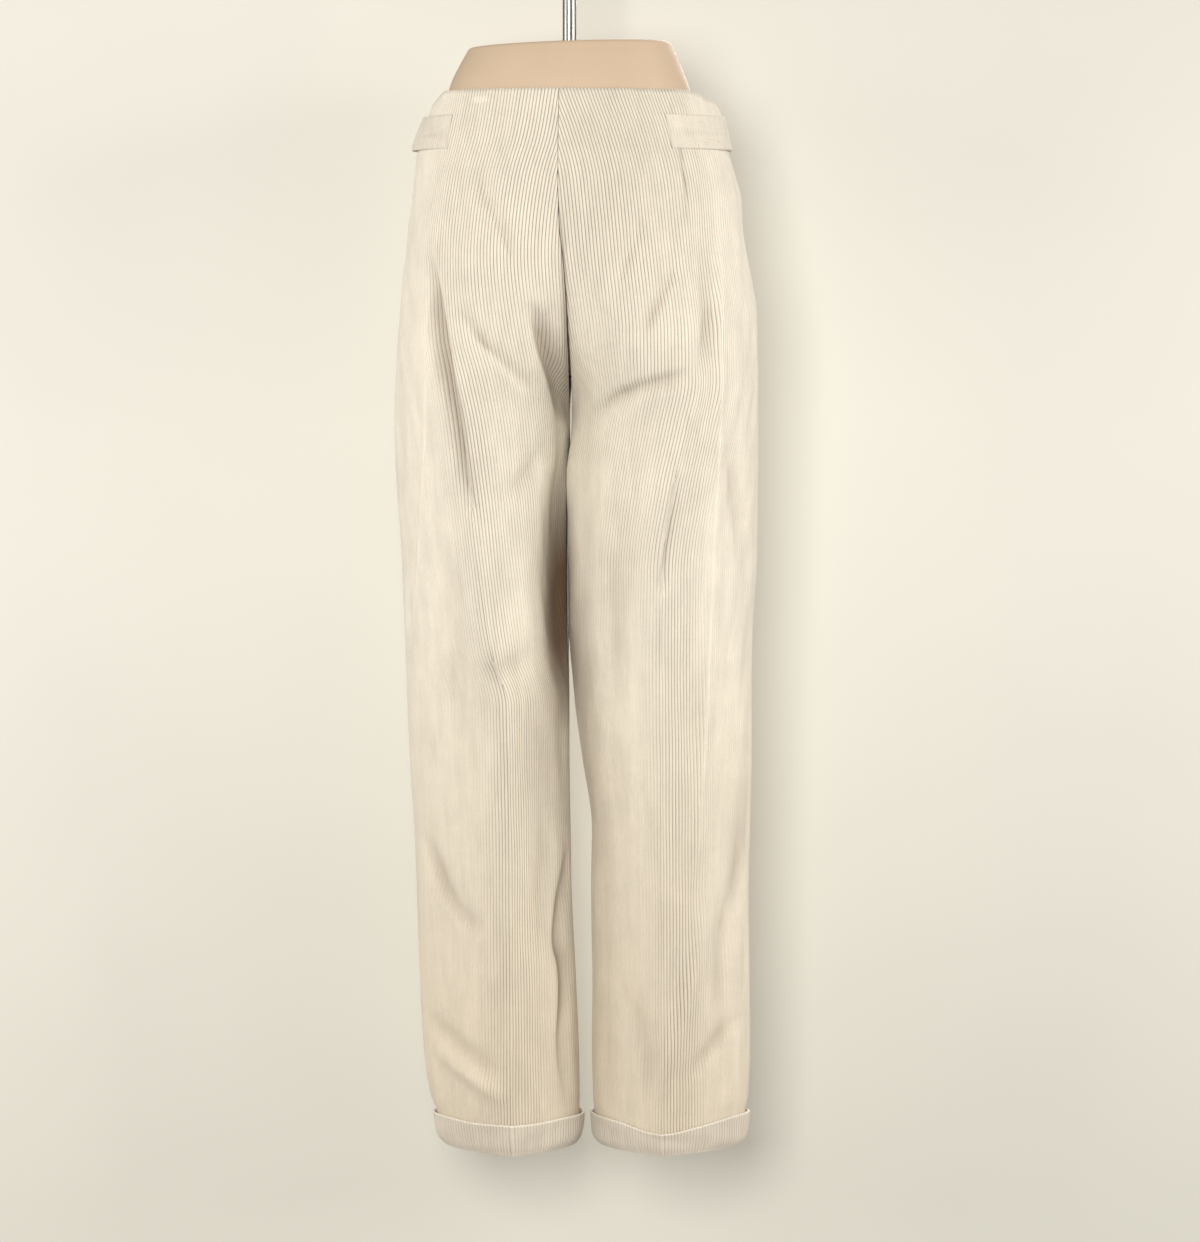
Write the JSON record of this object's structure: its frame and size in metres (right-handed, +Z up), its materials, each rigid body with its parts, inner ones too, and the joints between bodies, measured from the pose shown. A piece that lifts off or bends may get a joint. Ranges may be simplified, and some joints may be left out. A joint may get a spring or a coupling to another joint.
{
  "type": "corduroy trousers on a limbless hip form hung by a rod",
  "caption": "High-waisted corduroy trousers with pressed creases, turn-ups and side tabs, hanging empty-legged on a limbless hip form under a steel rod.",
  "frame": {"origin": "centre of the flat top end of the rod that the hip form hangs by", "axes": "+Z up along the rod, -Y out of the back of the trousers, -X to the wearer's left"},
  "size_m": [0.3482, 0.2245, 1.154],
  "materials": {
    "corduroy": "soft ribbed cotton pile, matt with a slight sheen",
    "buttons": "satin horn-like plastic",
    "form": "smooth satin plastic",
    "rod": "polished steel"
  },
  "bodies": {
    "root": {"back_left": "corduroy", "back_right": "corduroy", "front_left": "corduroy", "front_right": "corduroy", "cuff_left": "corduroy", "cuff_right": "corduroy", "side_tab_left": "corduroy", "side_tab_right": "corduroy", "fly_flap": "corduroy", "button_waist": "buttons", "button_left": "buttons", "button_right": "buttons", "hip_form": "form", "rod": "rod"}
  },
  "joints": []
}
